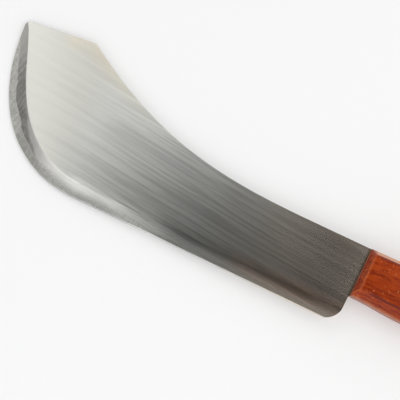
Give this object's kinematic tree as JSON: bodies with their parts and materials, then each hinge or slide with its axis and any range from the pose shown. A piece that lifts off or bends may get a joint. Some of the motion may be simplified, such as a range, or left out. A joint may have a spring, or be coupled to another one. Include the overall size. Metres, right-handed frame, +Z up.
{
  "type": "machete",
  "caption": "Machete with a broad, clipped, ground steel blade on a full tang and a riveted, chamfered wooden handle with a hole through its butt.",
  "frame": {"origin": "middle of the bounding box's underside: the machete lies on its right scale, whose outer face is at z = 0", "axes": "+X from the tip towards the butt, +Y from the cutting edge towards the spine, +Z up through the thickness, out of the left side"},
  "size_m": [0.435, 0.1134, 0.023],
  "materials": {
    "steel": "ground lengthwise, bare",
    "wood": "stained orange-red and varnished",
    "brass": "hammered, dulled"
  },
  "bodies": {
    "root": {"blade": "steel", "left_scale": "wood", "right_scale": "wood", "front_rivet": "brass", "middle_rivet": "brass", "rear_rivet": "brass", "front_left_washer": "brass", "front_right_washer": "brass", "middle_left_washer": "brass", "middle_right_washer": "brass", "rear_left_washer": "brass", "rear_right_washer": "brass"}
  },
  "joints": []
}
